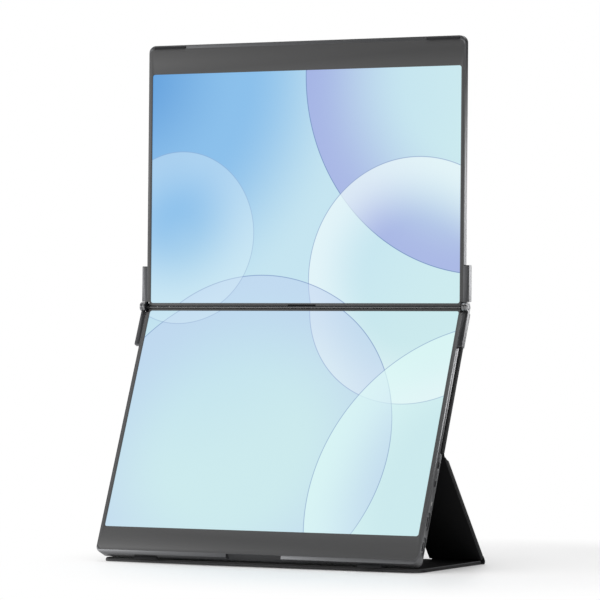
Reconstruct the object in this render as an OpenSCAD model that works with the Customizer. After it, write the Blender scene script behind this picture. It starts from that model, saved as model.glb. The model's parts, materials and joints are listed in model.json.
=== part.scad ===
// Two stacked screens on side hinges, held by a folding magnetic cover stand.
// Millimetres, +Z up, the screens face -Y, origin on the table under the middle of the model.
// Each display is drawn in its own frame: x across, y back from its face, z away from the hinge axis.

/* [Screens] */
// Lit width of each screen
screen_w = 285.3; // [270:0.1:310]
// Lit height of each screen
screen_h = 190.2; // [180:0.1:205]
// Corner radius of the lit area
screen_r = 2; // [1:0.5:4]
// Border from the lit area to the outer side edge
side_border = 3.55; // [3.45:0.05:6]
// Border from the hinge axis to the lit area
hinge_border = 3.1; // [2.8:0.1:5]
// Border beyond the lit area at the free end of the upper display
upper_chin = 24.1; // [20:0.1:32]
// Border beyond the lit area at the free end of the lower display
lower_chin = 22.9; // [20:0.1:32]

/* [Casings] */
// Thickness of a thin display
display_t = 4.8; // [4.7:0.1:6]
// Thickness of the lower display where it holds the electronics
hump_t = 9.8; // [9.4:0.1:12]
// Length of the thick part, from the free end
hump_len = 94; // [90:0.5:100]
// Corner radius at the free ends
corner_r = 6; // [4:0.5:10]
// Side wall thickness
wall = 1.4; // [1.2:0.1:1.8]
// Front border plate thickness
bezel_t = 0.6; // [0.4:0.1:0.8]
// Frame edge left showing round the front border plate
rim = 0.5; // [0.3:0.1:0.8]
// Height of the bright lip at the free end of each display
lip_h = 3.1; // [2.5:0.1:4]
// Thickness of the thin back plates
back_t = 0.8; // [0.6:0.1:1]
// Wall thickness of the rear cover over the electronics
rear_wall = 1.2; // [1:0.1:1.4]
// Edge rounding of the rear cover
rear_round = 1.4; // [1.3:0.1:1.6]
// Thickness of the screen glass and cell
lcd_t = 1.2; // [1:0.1:1.3]
// Thickness of the backlight stack
backlight_t = 1.8; // [1.4:0.1:1.9]
// Width of the finger notch in the lower lip
notch_width = 50; // [30:1:80]
// Depth of the finger notch at the display's end
notch_deep = 7; // [4:0.1:7.4]
// Depth of the wedge feet below the casing's lowest edge
foot_drop = 1.3; // [0.3:0.1:2]
// Width of each foot
foot_w = 21; // [12:1:40]
// Distance of each foot's middle from the centre line
foot_x = 102; // [70:1:125]

/* [Hinges] */
// Recline of the lower display from upright
lower_lean = 22.7; // [16:0.1:28]
// Angle between the two screens
open_angle = 158.4; // [140:0.1:172]
// Hinge axis in front of the upper face
upper_setback = 0.5; // [0.4:0.1:1]
// Hinge axis in front of the lower face
lower_setback = 0.8; // [0.6:0.1:1.2]
// Width of a hinge arm
arm_w = 4.7; // [4.4:0.1:7]
// Reach of a hinge arm from the axis
arm_len = 33.6; // [26:0.1:42]
// Thickness of a hinge arm
arm_t = 4.7; // [4.2:0.1:4.7]
// Barrel diameter
barrel_d = 7.4; // [6.8:0.1:8]
// Hinge pin diameter
pin_d = 3; // [2.4:0.1:3.6]
// Running clearance round the pin
pin_fit = 0.04; // [0.02:0.01:0.08]
// Gap from the hinge axis to each display's edge
edge_gap = 0.35; // [0.3:0.05:0.6]
// Width of the corner notch beside each barrel
notch_w = 2.4; // [2:0.1:2.4]
// Radius of the bead that covers the seam along the axis
spine_r = 0.55; // [0.4:0.05:0.55]

/* [Cover] */
// Inset of the cover's sides from the display's sides
cover_inset = 0; // [0:0.1:6]
// Distance from the hinge axis to the cover's upper edge
cover_top = 12; // [8:0.5:20]
// Inset of the base plate's sides from the display's sides
base_inset = 0.9; // [0:0.1:6]
// Magnet pad thickness between display and cover
pad_t = 2.9; // [2.2:0.1:4]
// Cover panel thickness
panel_t = 5; // [3.9:0.1:6]
// Thickness of the thin flap over the electronics
flap_t = 1.15; // [0.8:0.05:1.2]
// Strut thickness
strut_t = 4.4; // [4:0.1:5.5]
// Strut length between its two creases
strut_len = 113.9; // [106:0.1:124]
// Base plate thickness
base_t = 3; // [3:0.1:5]
// Length of the base plate from the rear crease to its front edge
base_len = 112; // [108:0.5:122]
// Corner radius at the front of the base plate
base_corner = 8; // [4:0.5:16]
// Width of a strut leg beside its window
leg_w = 47.4; // [30:0.1:80]
// Length of the strut band above its window
band_len = 45; // [30:1:70]
// Corner radius of the strut's window
window_r = 6; // [3:0.5:12]
// Thickness of the leather
skin_t = 1; // [0.8:0.1:1.2]
// Width of the turned leather edge
hem = 1.6; // [1.2:0.1:3]
// Thickness of the soft inner lining
lining_t = 0.8; // [0.6:0.1:0.9]

/* [Ports and keys] */
// Depth of the port row behind the face
port_depth = 5.6; // [5.4:0.1:5.9]
// Distance of the first port from the free end
port_a_end = 36.7; // [34:0.1:40]
// Distance of the second port from the free end
port_b_end = 16.2; // [13:0.1:18]
// Length of the recess round a port
recess_len = 15.4; // [12:0.1:16]
// Height of the recess round a port
recess_h = 5.2; // [4.6:0.1:5.6]
// Depth of the key row behind the face
key_depth = 6; // [5.6:0.1:6.2]
// Power key's distance from the free end
power_end = 84.2; // [82:0.1:85]
// Power key length
power_len = 5.8; // [4:0.1:7]
// Menu key's distance from the free end
menu_end = 68.4; // [65:0.1:71]
// Menu key length
menu_len = 5.2; // [4:0.1:7]
// Key travel
key_travel = 0.4; // [0.2:0.05:0.5]
// Status light's distance from the free end
light_end = 52.1; // [50:0.1:56]
// Status light length
light_len = 3.3; // [2:0.1:5]

/* [Hidden] */
$fn = 48;

// Small shared clearances
gap = 0.05;          // between pieces that lie on each other
air = 0.3;           // between pieces that move past each other
big = 400;           // longer than the model, for cutting

// Displays
half_w = screen_w / 2 + side_border;
upper_len = hinge_border + screen_h + upper_chin;
lower_len = hinge_border + screen_h + lower_chin;
hump_start = lower_len - hump_len;
upper_lean = lower_lean - (180 - open_angle);
near_r = 0.3;
near_wall = 1.2;
ledge = 0.9;
end_wall = lip_h + ledge;
lip_bevel = 0.7;
cell_margin = 0.5;
cell_end = hinge_border + screen_h + cell_margin;
lcd_front = bezel_t + gap;
lcd_back = lcd_front + lcd_t;
backlight_front = lcd_back + gap;
backlight_back = backlight_front + backlight_t;
back_inner = display_t - back_t;
seam = hump_t - rear_round;
step_wall = 1.2;

// Small things on the upper face
bumper_l = 29.4;
bumper_h = 2;
bumper_x = half_w - 5.2 - bumper_l / 2;
dot_x = [half_w - 22.1, half_w - 10.5];
dot_r = 0.3;
dot_t = 0.3;
slot_w = 25.4;
slot_h = 1.2;
slot_z = edge_gap + 0.35 + slot_h / 2;

// Hinges
barrel_r = barrel_d / 2;
pin_r = pin_d / 2;
arm_start = barrel_r + air + 0.1;
notch_h = barrel_r + 0.5;
washer_t = 0.25;
side_gap = 0.15;
knuckle_w = (arm_w - side_gap - washer_t - 2 * gap) / 2;
washer_x = half_w + side_gap + knuckle_w + gap;
outer_knuckle_x = washer_x + washer_t + gap;
head_r = 2.4;
head_t = 0.6;
collar_t = 0.9;
collar_x = half_w - collar_t + 0.1;
pin_start = collar_x + 0.3;
spine_x = half_w - notch_w - air;
screw_r = 0.7;
screw_head_r = 1.2;
screw_head_t = 0.7;
arm_screw_at = [for (i = [1:3]) arm_start + i * (arm_len - arm_start) / 4];
arm_screw_depth = display_t / 2;
cable_r = 0.4;
cable_x = half_w - notch_w + 0.1 + cable_r;
cable_y = bezel_t + 0.2 + cable_r;
cable_in = 9;

// Cover on the back of the lower display
pad_back = display_t + pad_t;
cover_back = pad_back + panel_t;
cover_half = half_w - cover_inset;
base_half = half_w - base_inset;
opening_half = cover_half - leg_w;
panel_end = hump_start - 1.4;
bead_r = 0.8;
inner_off = 0.5;
apex_depth = cover_back + 0.4;
apex_at = panel_end + bead_r;
foot_back = apex_depth - inner_off - air;   // just clear of the strut when it lies flat
flap_end = lower_len - rear_round - 0.6;
magnet = [20, 8, 1.5];
magnet_x = [for (i = [-2:2]) i * cover_half / 3];
magnet_in = 14;
base_magnet_t = 0.7;
pocket_end = 9;

// Height of the hinge axis: the wedge feet stand just above the base plate
support = lower_len * cos(lower_lean) + (lower_setback + hump_t) * sin(lower_lean)
  - rear_round * (cos(lower_lean) + sin(lower_lean) - 1);
hinge_z = base_t + gap + foot_drop + support;

// Creases, seen from the side as [y, z] from the hinge axis
apex_y = (lower_setback + apex_depth) * cos(lower_lean) - apex_at * sin(lower_lean);
apex_z = -(lower_setback + apex_depth) * sin(lower_lean) - apex_at * cos(lower_lean);
fold_r = strut_t / 2;
rear_z = fold_r - hinge_z;
rear_y = apex_y + sqrt(strut_len * strut_len - (apex_z - rear_z) * (apex_z - rear_z));
rear_off = fold_r - inner_off;
strut_reach = sqrt(strut_len * strut_len - rear_off * rear_off);
strut_angle = atan2(rear_z - apex_z, rear_y - apex_y) - atan2(rear_off, strut_reach);
fold_angle = 90 + lower_lean + strut_angle;
strut_end = strut_reach - 3;

// The model's middle in Y lies between the lower lip and the rear crease
front_y = lower_setback * cos(lower_lean) - lower_len * sin(lower_lean);
hinge_y = -(front_y + rear_y + fold_r) / 2;

// Posts that the rear cover is screwed to
inner_x = half_w - wall;
post_r = 2;
post_x = inner_x - 1.2;
post_z = [hump_start + step_wall + post_r + 0.2, lower_len - end_wall - 1.2];

// Ports and keys on the right-hand wall
port_a = lower_len - port_a_end;
port_b = lower_len - port_b_end;
power_at = lower_len - power_end;
menu_at = lower_len - menu_end;
light_at = lower_len - light_end;
port_size = [9, 3.2];
port_len = 7.3;
port_shell = 0.3;
recess_in = 0.8;
key_h = 1.6;
key_fit = 0.08;
key_proud = 0.45;
flange_t = 0.7;
switch_l = 2.4;
switch_h = 1.8;
light_h = 0.9;
light_in = 0.8;
pin_hole_r = 0.5;
board_front = port_depth + port_size[1] / 2 + gap;
board_t = 0.6;
flange_x = inner_x - gap - flange_t;
switch_x = flange_x - key_travel - gap;
board_x1 = flange_x - key_travel - 0.2;
board_x0 = board_x1 - screen_w * 0.43;
board_z0 = hump_start + step_wall + 0.8;
board_z1 = lower_len - end_wall - 0.6;
chip_l = 8;
chip_t = 1.2;
can_size = [50, 38];
can_at = [20, 20];
can_t = 2.2;
can_wall = 0.4;
flex_t = 0.2;
flex_w = 30;
flex_x = board_x0 + can_at[0] + can_size[0];
flex_y = lcd_front + lcd_t / 2;
driver_z = cell_end + 2.6;
driver_w = 120;
driver_h = 12;
driver_t = 0.8;

// ---------- helpers ----------

module place_upper() translate([0, hinge_y, hinge_z]) rotate([-upper_lean, 0, 0])
  translate([0, upper_setback, 0]) children();
module place_lower() translate([0, hinge_y, hinge_z]) rotate([-lower_lean, 0, 0]) mirror([0, 0, 1])
  translate([0, lower_setback, 0]) children();
// Origin at the apex crease, y along the strut
module place_strut() translate([0, hinge_y + apex_y, hinge_z + apex_z]) rotate([strut_angle, 0, 0])
  children();
module place_rear() translate([0, hinge_y + rear_y, hinge_z + rear_z]) children();

// A flat shape in x and z, given thickness from y0 to y1
module slab(y0, y1) translate([0, y1, 0]) rotate([90, 0, 0]) linear_extrude(y1 - y0) children();
// A shape in y and z, drawn out along x
module bar(x0, x1) translate([x0, 0, 0]) rotate([90, 0, 90]) linear_extrude(x1 - x0) children();
// A block between two corners
module box(a, b) translate(a) cube(b - a);
module both() for (s = [0, 1]) mirror([s, 0, 0]) children();

module round_rect(w, h, r) {
  square([w - 2 * r, h], center = true);
  square([w, h - 2 * r], center = true);
  for (x = [-1, 1], y = [-1, 1]) translate([x * (w / 2 - r), y * (h / 2 - r)]) circle(r);
}

// A long hole or plug along x: length along z, height along y
module oblong(x0, x1, len, h) bar(x0, x1) {
  square([h, len - h], center = true);
  for (s = [-1, 1]) translate([0, s * (len - h) / 2]) circle(h / 2);
}

// Display outline, inset on the sides, at the hinge end and at the free end
module outline(len, side, near, far, r0, r1) {
  x = half_w - side;
  z0 = edge_gap + near;
  z1 = len - far;
  translate([-x, z0 + r0]) square([2 * x, z1 - z0 - r0 - r1]);
  translate([r0 - x, z0]) square([2 * (x - r0), r0]);
  translate([r1 - x, z1 - r1]) square([2 * (x - r1), r1]);
  for (s = [-1, 1]) {
    translate([s * (x - r0), z0 + r0]) circle(r0);
    translate([s * (x - r1), z1 - r1]) circle(r1);
  }
}

// The part of an outline beyond, or up to, a distance from the hinge
module beyond(z) intersection() {
  children();
  translate([-big, z]) square(2 * big);
}
module up_to(z) intersection() {
  children();
  translate([-big, -1]) square([2 * big, z + 1]);
}

// Room for the barrels at the corners, down to a given depth
module hinge_notches(deep, grow) both()
  box([half_w - notch_w - grow, -1, -1], [half_w + 1, deep, notch_h + grow]);

// ---------- pieces that both displays have ----------

module frame_ring(len, setback, recess_end) difference() {
  slab(0, display_t) outline(len, 0, 0, 0, near_r, corner_r);
  slab(-1, bezel_t) outline(len, rim, rim, lip_h, near_r, corner_r - rim);
  difference() {
    slab(-1, display_t + 1) outline(len, wall, near_wall, end_wall, near_r, corner_r - wall);
    both() box([half_w - notch_w - cell_margin, -2, 0], [half_w, display_t + 2, notch_h + cell_margin]);
  }
  slab(back_inner, display_t + 1) up_to(recess_end)
    outline(len, wall / 2, near_wall / 2, ledge, near_r, corner_r - wall / 2);
  hinge_notches(barrel_r + air + 0.1 - setback, 0);
  lip_cut(len);
}

// The bright lip slopes back towards the free end
module lip_cut(len) bar(-big, big)
  polygon([[-1, len - lip_h], [0, len - lip_h + 0.3], [lip_bevel, len + 0.2], [-1, len + 0.2]]);

module bezel(len) difference() {
  slab(0, bezel_t) outline(len, rim + gap, rim + gap, lip_h + gap, near_r, corner_r - rim - gap);
  slab(-1, bezel_t + 1) translate([0, hinge_border + screen_h / 2]) round_rect(screen_w, screen_h, screen_r);
  hinge_notches(bezel_t + 1, cell_margin / 2);
}

module lcd_cell() slab(lcd_front, lcd_back) cell_shape();
module backlight() slab(backlight_front, backlight_back) cell_shape();
module cell_shape() translate([-screen_w / 2 - cell_margin, hinge_border - cell_margin])
  square([screen_w + 2 * cell_margin, screen_h + 2 * cell_margin]);

module arm_screw_holes(r0) both() for (z = arm_screw_at)
  translate([inner_x - 1, arm_screw_depth, z]) rotate([0, 90, 0]) {
    cylinder(h = screw_head_t + 1 + gap, r = screw_head_r + r0);
    cylinder(h = wall + 4, r = screw_r + r0);
  }
// Screws that hold both arms of a display, heads inside its walls
module arm_screw_set() both() for (z = arm_screw_at)
  translate([inner_x + gap, arm_screw_depth, z]) rotate([0, 90, 0]) {
    cylinder(h = screw_head_t - gap, r = screw_head_r);
    cylinder(h = wall + 2.2, r = screw_r);
  }

// Hinge arm on the right: setback is the axis' distance in front of the face
module arm(setback, x0, x1) difference() {
  union() {
    bar(half_w, half_w + arm_w) translate([arm_t / 2, (arm_start + arm_len) / 2])
      round_rect(arm_t, arm_len - arm_start, 0.8);
    bar(half_w, half_w + arm_w) translate([0, arm_start]) square([arm_t, 2]);
    translate([x0, -setback, 0]) rotate([0, 90, 0]) cylinder(h = x1 - x0, r = barrel_r);
    box([x0, 0, 0], [x1, barrel_r - setback, arm_start + 1]);
  }
  translate([x0 - 1, -setback, 0]) rotate([0, 90, 0]) cylinder(h = x1 - x0 + 2, r = pin_r + pin_fit);
  arm_screw_holes(gap);
}
module upper_arm() arm(upper_setback, half_w + side_gap, half_w + side_gap + knuckle_w);
module lower_arm() difference() {
  arm(lower_setback, outer_knuckle_x, outer_knuckle_x + knuckle_w);
  translate([half_w + arm_w - head_t - gap, -lower_setback, 0]) rotate([0, 90, 0])
    cylinder(h = head_t + 1, r = head_r + gap);
}

// ---------- lower display ----------

module lower_frame() color("silver") place_lower() difference() {
  union() {
    frame_ring(lower_len, lower_setback, hump_start + step_wall + gap);
    difference() {
      slab(display_t, seam) beyond(hump_start) outline(lower_len, 0, 0, 0, near_r, corner_r);
      slab(display_t - 1, seam + 1) outline(lower_len, wall, near_wall, end_wall, near_r, corner_r - wall);
    }
    screw_posts();
  }
  slab(back_inner, seam + 1) intersection() {
    outline(lower_len, wall, near_wall, end_wall, near_r, corner_r - wall);
    translate([-big, hump_start]) square([2 * big, step_wall + gap]);
  }
  finger_notch();
  arm_screw_holes(gap);
  lower_screw_holes();
  port_cut(port_a);
  port_cut(port_b);
  key_cut(power_at, power_len);
  key_cut(menu_at, menu_len);
  side_hole(light_at) oblong(inner_x - 1, half_w + 1, light_len + 2 * gap, light_h + 2 * gap);
  side_hole(menu_at - menu_len) pin_hole();
  side_hole(menu_at + menu_len + pin_hole_r) pin_hole();
  translate([-cable_x, cable_y, 0]) cylinder(h = notch_h + 2, r = cable_r + gap);
}

module pin_hole() translate([inner_x - 1, 0, 0]) rotate([0, 90, 0]) cylinder(h = wall + 2, r = pin_hole_r);
module side_hole(z) translate([0, key_depth, z]) children();
// The notch's floor slopes back, so that it faces the base plate
module finger_notch() bar(-notch_width / 2, notch_width / 2)
  polygon([[-1, lower_len - lip_h + 0.3], [bezel_t, lower_len - lip_h + 0.3], [notch_deep, lower_len + 0.1],
    [-1, lower_len + 0.1]]);
module port_cut(z) translate([0, port_depth, z]) {
  oblong(half_w - recess_in, half_w + 1, recess_len, recess_h);
  oblong(inner_x - 1, half_w + 1, port_size[0] + 2 * gap, port_size[1] + 2 * gap);
}
module key_cut(z, len) translate([0, key_depth, z])
  oblong(inner_x - 1, half_w + 1, len + 2 * key_fit, key_h + 2 * key_fit);

module screw_posts() both() for (z = post_z)
  translate([post_x, seam - gap, z]) rotate([90, 0, 0])
  cylinder(h = seam - gap - backlight_back - 0.5, r = post_r);
module lower_screw_holes() both() for (z = post_z)
  translate([post_x, seam + 1, z]) rotate([90, 0, 0]) cylinder(h = 4.2, r = screw_r + gap);
module lower_screws() color("dimgray") place_lower() both() for (z = post_z) {
  translate([post_x, hump_t - 0.1, z]) rotate([90, 0, 0]) cylinder(h = 0.6, r = screw_head_r);
  translate([post_x, hump_t - 0.6, z]) rotate([90, 0, 0]) cylinder(h = 3.6, r = screw_r);
}

// Thin back plate, step and deeper cover over the electronics, in one piece
module lower_rear_cover() color("dimgray") place_lower() difference() {
  union() {
    slab(back_inner, display_t) intersection() {
      outline(lower_len, wall / 2 + gap, near_wall / 2 + gap, ledge + gap, near_r, corner_r - wall / 2);
      translate([-big, 0]) square([2 * big, hump_start + step_wall]);
    }
    slab(back_inner, seam + 0.5) translate([gap - inner_x, hump_start])
      square([2 * (inner_x - gap), step_wall]);
    difference() {
      rear_tray();
      slab(seam - 1, hump_t - rear_wall) intersection() {
        outline(lower_len, wall, near_wall, end_wall, near_r, corner_r - wall);
        translate([-big, hump_start + step_wall]) square(2 * big);
      }
    }
    both() for (z = post_z) translate([post_x, hump_t - rear_wall / 2, z]) rotate([90, 0, 0])
      cylinder(h = rear_round - rear_wall / 2, r = post_r);
  }
  both() for (z = post_z) translate([post_x, hump_t + 1, z]) rotate([90, 0, 0]) {
    cylinder(h = 1.7 + gap, r = screw_head_r + gap);
    cylinder(h = 6, r = screw_r + gap);
  }
}
module rear_tray() intersection() {
  slab(seam, hump_t) beyond(hump_start) outline(lower_len, 0, 0, 0, near_r, corner_r);
  bar(-half_w, half_w) rounded_edge(hump_start, lower_len);
  rotate([0, 0, 90]) translate([0, 0, hump_start]) linear_extrude(lower_len - hump_start)
    mirror([0, 1]) rounded_edge(-half_w, half_w);
}
// A band from z0 to z1 whose two back edges are rounded
module rounded_edge(z0, z1) {
  translate([seam - 1, z0]) square([1, z1 - z0]);
  translate([seam - 0.1, z0 + rear_round]) square([rear_round + 0.1, z1 - z0 - 2 * rear_round]);
  for (z = [z0 + rear_round, z1 - rear_round]) translate([seam, z]) circle(rear_round);
}

module lower_bezel() color([0.36, 0.37, 0.38]) place_lower() bezel(lower_len);
module lower_lcd() color([0.55, 0.78, 0.93]) place_lower() lcd_cell();
module lower_backlight() color("whitesmoke") place_lower() backlight();
// Thin strip from the glass edge back to the main board
module lower_panel_flex() color("orange") place_lower() {
  box([flex_x, flex_y, cell_end], [flex_x + flex_w, flex_y + flex_t, cell_end + 1.4]);
  box([flex_x, flex_y + flex_t, cell_end + 1.4 - flex_t],
    [flex_x + flex_w, board_front - gap, cell_end + 1.4]);
}

module main_board() color("darkgreen") place_lower() difference() {
  box([board_x0, board_front, board_z0], [board_x1, board_front + board_t, board_z1]);
  for (z = post_z) translate([post_x, seam + 4, z]) rotate([90, 0, 0]) cylinder(h = 8, r = post_r + air);
}
// A row of chips on the front of the main board: first corner, size and number
module chip_row(at, size, count) for (i = [0:count - 1])
  box([board_x0 + at[0] + 1.5 * size[0] * i, board_front - gap - size[1], board_z0 + at[1]],
    [board_x0 + at[0] + size[0] * (1.5 * i + 1), board_front - gap, board_z0 + at[1] + size[2]]);
module board_chips() color([0.12, 0.12, 0.13]) place_lower() {
  chip_row([chip_l, chip_l / 2], [chip_l, chip_t, chip_l], 4);
  chip_row([2 * chip_l, board_z1 - board_z0 - 2.5 * chip_l], [chip_l / 2, chip_t / 2, chip_l], 5);
  chip_row([board_x1 - board_x0 - 4 * chip_l, chip_l], [chip_l / 2, chip_t, chip_l], 3);
}
module can_box(inset, front, back) box([board_x0 + can_at[0] + inset, front, board_z0 + can_at[1] + inset],
  [board_x0 + can_at[0] + can_size[0] - inset, back, board_z0 + can_at[1] + can_size[1] - inset]);
module shield_can() color("lightgray") place_lower() difference() {
  can_box(0, board_front - gap - can_t, board_front - gap);
  can_box(can_wall, board_front - gap - can_t + can_wall, board_front + 1);
}
module usb_port(z) color("darkgray") place_lower() translate([0, port_depth, z]) {
  difference() {
    oblong(half_w - recess_in - port_len, half_w - recess_in, port_size[0], port_size[1]);
    oblong(half_w - recess_in - port_len + 1, half_w + 1, port_size[0] - 2 * port_shell,
      port_size[1] - 2 * port_shell);
  }
  box([half_w - recess_in - port_len + 0.5, -0.35, -3.35], [half_w - recess_in - 0.8, 0.35, 3.35]);
}
module usb_port_a() usb_port(port_a);
module usb_port_b() usb_port(port_b);

module key(z, len) place_lower() translate([0, key_depth, z]) {
  oblong(flange_x, half_w + key_proud, len, key_h);
  oblong(flange_x, flange_x + flange_t, len + 1.2, key_h + 1);
}
module power_key() color("gray") key(power_at, power_len);
module menu_key() color("gray") key(menu_at, menu_len);
module key_switches() color("silver") place_lower() for (z = [power_at, menu_at])
  box([switch_x - switch_l, key_depth - key_h / 2, z - switch_h],
    [switch_x, board_front - gap, z + switch_h]);
module status_light() color("white") place_lower() side_hole(light_at)
  oblong(inner_x - light_in, half_w, light_len, light_h);

// Wedge feet, cut level with the table
module lower_feet() color([0.25, 0.25, 0.26]) intersection() {
  place_lower() difference() {
    both() box([foot_x - foot_w / 2, display_t + 1, lower_len - rear_round],
      [foot_x + foot_w / 2, foot_back, lower_len + hump_t]);
    bar(-half_w, half_w) rounded_edge(hump_start, lower_len);
    box([-half_w, 0, 0], [half_w, seam, lower_len]);
  }
  translate([-big / 2, -big / 2, base_t + gap]) cube(big);
}

// ---------- upper display ----------

module upper_frame() color("silver") place_upper() difference() {
  union() {
    frame_ring(upper_len, upper_setback, upper_len);
    spine();
  }
  arm_screw_holes(gap);
  both() bumper_seat(gap);
  sensor_slot(gap, 1.1);
  both() spine_holes();
  translate([-cable_x, cable_y, 0]) cylinder(h = notch_h + 2, r = cable_r + gap);
}
// Bead along the hinge axis and the web that joins it to the frame's edge
module spine() bar(-spine_x, spine_x) {
  translate([-upper_setback, 0]) circle(spine_r);
  translate([-upper_setback, 0]) square([upper_setback + 0.1, edge_gap + 0.15]);
}
// Small lamps on the left, empty holes on the right
module spine_holes() for (x = dot_x) translate([x, dot_t - upper_setback - spine_r, 0])
  rotate([90, 0, 0]) cylinder(h = dot_t + 1, r = dot_r + gap);
module bumper_seat(grow) slab(-1, bezel_t + 0.5 + grow)
  translate([bumper_x, upper_len - lip_h + bumper_h / 2 + 0.15])
  square([bumper_l + 2 * grow, bumper_h + 2 * grow], center = true);
module upper_bumpers() color([0.14, 0.14, 0.15]) place_upper() both()
  slab(-0.6, bezel_t + 0.5) translate([bumper_x, upper_len - lip_h + bumper_h / 2 + 0.15])
  round_rect(bumper_l, bumper_h, 0.6);
module upper_rear_cover() color("dimgray") place_upper() slab(back_inner, display_t)
  outline(upper_len, wall / 2 + gap, near_wall / 2 + gap, ledge + gap, near_r, corner_r - wall / 2 - gap);
module sensor_slot(grow, depth) slab(-1, depth + grow) translate([0, slot_z])
  square([slot_w + 2 * grow, slot_h + 2 * grow], center = true);
module upper_bezel() color([0.36, 0.37, 0.38]) place_upper() difference() {
  bezel(upper_len);
  sensor_slot(gap, 1);
}
module indicator_dots() color("white") place_upper() for (x = dot_x)
  translate([-x, dot_t - gap - upper_setback - spine_r, 0]) rotate([90, 0, 0])
  cylinder(h = dot_t - gap, r = dot_r);
module sensor_window() color([0.08, 0.08, 0.09]) place_upper() slab(0.5, 1.1)
  translate([0, slot_z]) square([slot_w, slot_h], center = true);
module upper_lcd() color([0.45, 0.72, 0.92]) place_upper() lcd_cell();
module upper_backlight() color("whitesmoke") place_upper() backlight();
module upper_panel_flex() color("orange") place_upper()
  box([-flex_w / 2, lcd_back - flex_t, cell_end], [flex_w / 2, lcd_back, driver_z + 2]);
module driver_board() color("darkgreen") place_upper() {
  box([-driver_w / 2, lcd_back, driver_z], [driver_w / 2, lcd_back + driver_t, driver_z + driver_h]);
  for (i = [-2:2]) translate([i * driver_w / 5.5, 0, 0])
    box([-chip_l / 2, lcd_back - driver_t, driver_z + driver_h / 4],
      [chip_l / 2, lcd_back, driver_z + driver_h * 3 / 4]);
}

// ---------- hinges ----------

module upper_arm_right() color("gray") place_upper() upper_arm();
module upper_arm_left() color("gray") place_upper() mirror([1, 0, 0]) upper_arm();
module lower_arm_right() color("gray") place_lower() lower_arm();
module lower_arm_left() color("gray") place_lower() mirror([1, 0, 0]) lower_arm();
module upper_arm_screws() color("dimgray") place_upper() arm_screw_set();
module lower_arm_screws() color("dimgray") place_lower() arm_screw_set();

module on_axis(x) translate([x, hinge_y, hinge_z]) rotate([0, 90, 0]) children();
module hinge_pin() {
  on_axis(pin_start) cylinder(h = half_w + arm_w - pin_start - gap, r = pin_r);
  on_axis(half_w + arm_w - head_t) cylinder(h = head_t, r = head_r);
}
module hinge_pin_right() color("silver") hinge_pin();
module hinge_pin_left() color("silver") mirror([1, 0, 0]) hinge_pin();
module friction_washer() difference() {
  on_axis(washer_x) cylinder(h = washer_t, r = barrel_r - 0.9);
  on_axis(washer_x - 1) cylinder(h = washer_t + 2, r = pin_r + pin_fit);
}
module friction_washer_right() color("gold") friction_washer();
module friction_washer_left() color("gold") mirror([1, 0, 0]) friction_washer();
// Black cap that closes the pin's inner end
module hinge_collar() difference() {
  on_axis(collar_x) cylinder(h = collar_t, r = barrel_r);
  on_axis(pin_start - gap) cylinder(h = collar_t, r = pin_r + pin_fit);
}
module hinge_collar_right() color([0.05, 0.05, 0.05]) hinge_collar();
module hinge_collar_left() color([0.05, 0.05, 0.05]) mirror([1, 0, 0]) hinge_collar();

// Signal cable across the left-hand hinge, in two halves that meet at the axis
module cable_half() translate([-cable_x, cable_y, 0.1]) cylinder(h = cable_in, r = cable_r);
module link_cable_upper() color([0.05, 0.05, 0.05]) place_upper() cable_half();
module link_cable_lower() color([0.05, 0.05, 0.05]) place_lower() cable_half();

// ---------- cover on the back of the lower display ----------

module cover_sheet(half, z0, z1, r) translate([0, (z0 + z1) / 2]) round_rect(2 * half, z1 - z0, r);

skin_front = pad_back + lining_t;
board_in = gap;
module cover_pad() color([0.05, 0.05, 0.05]) place_lower() slab(display_t + gap, pad_back - gap)
  cover_sheet(cover_half - 3, cover_top + 2, panel_end - 1, 3);
module panel_lining() color([0.12, 0.12, 0.12]) place_lower() slab(pad_back, skin_front)
  cover_sheet(cover_half - 0.4, cover_top + 0.4, panel_end - 0.4, 2);
module panel_skin() color([0.1, 0.1, 0.1]) place_lower() difference() {
  slab(skin_front, cover_back) cover_sheet(cover_half, cover_top, panel_end, 2);
  slab(skin_front - 1, cover_back - skin_t)
    cover_sheet(cover_half - hem, cover_top + hem, panel_end - hem, 1);
}
module panel_board() color("tan") place_lower() difference() {
  slab(skin_front, cover_back - skin_t - gap)
    cover_sheet(cover_half - hem - gap, cover_top + hem + gap, panel_end - hem - gap, 1);
  magnet_row(cover_top + magnet_in, gap);
  magnet_row(panel_end - magnet_in, gap);
}
module magnet_row(z, grow) for (x = magnet_x)
  box([x - magnet[0] / 2 - grow, skin_front - grow, z - magnet[1] / 2 - grow],
  [x + magnet[0] / 2 + grow, skin_front + magnet[2] + grow, z + magnet[1] / 2 + grow]);
module panel_magnets() color("silver") place_lower() {
  magnet_row(cover_top + magnet_in, 0);
  magnet_row(panel_end - magnet_in, 0);
}
module hump_flap() color([0.1, 0.1, 0.1]) place_lower() slab(hump_t + gap, hump_t + gap + flap_t)
  cover_sheet(cover_half - 1.5, panel_end, flap_end, 1);
module apex_crease() color([0.08, 0.08, 0.08]) place_lower() {
  translate([-cover_half, apex_depth, apex_at]) rotate([0, 90, 0]) cylinder(h = 2 * cover_half, r = bead_r);
  box([-cover_half, apex_depth - bead_r, panel_end], [cover_half, cover_back, apex_at]);
}

// ---------- strut: x across, y along it from the apex, z out from its inner face ----------

strut_out = strut_t - inner_off;
strut_in = -inner_off;
lining_top = strut_in + lining_t;
module strut_shape(inset) difference() {
  translate([inset - cover_half, inset]) square([2 * (cover_half - inset), strut_end - 2 * inset]);
  window_shape(opening_half + inset, band_len - inset);
}
module window_shape(half, top) {
  translate([-half, top + window_r]) square([2 * half, big]);
  translate([window_r - half, top]) square([2 * (half - window_r), big]);
  for (s = [-1, 1]) translate([s * (half - window_r), top + window_r]) circle(window_r);
}
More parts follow.
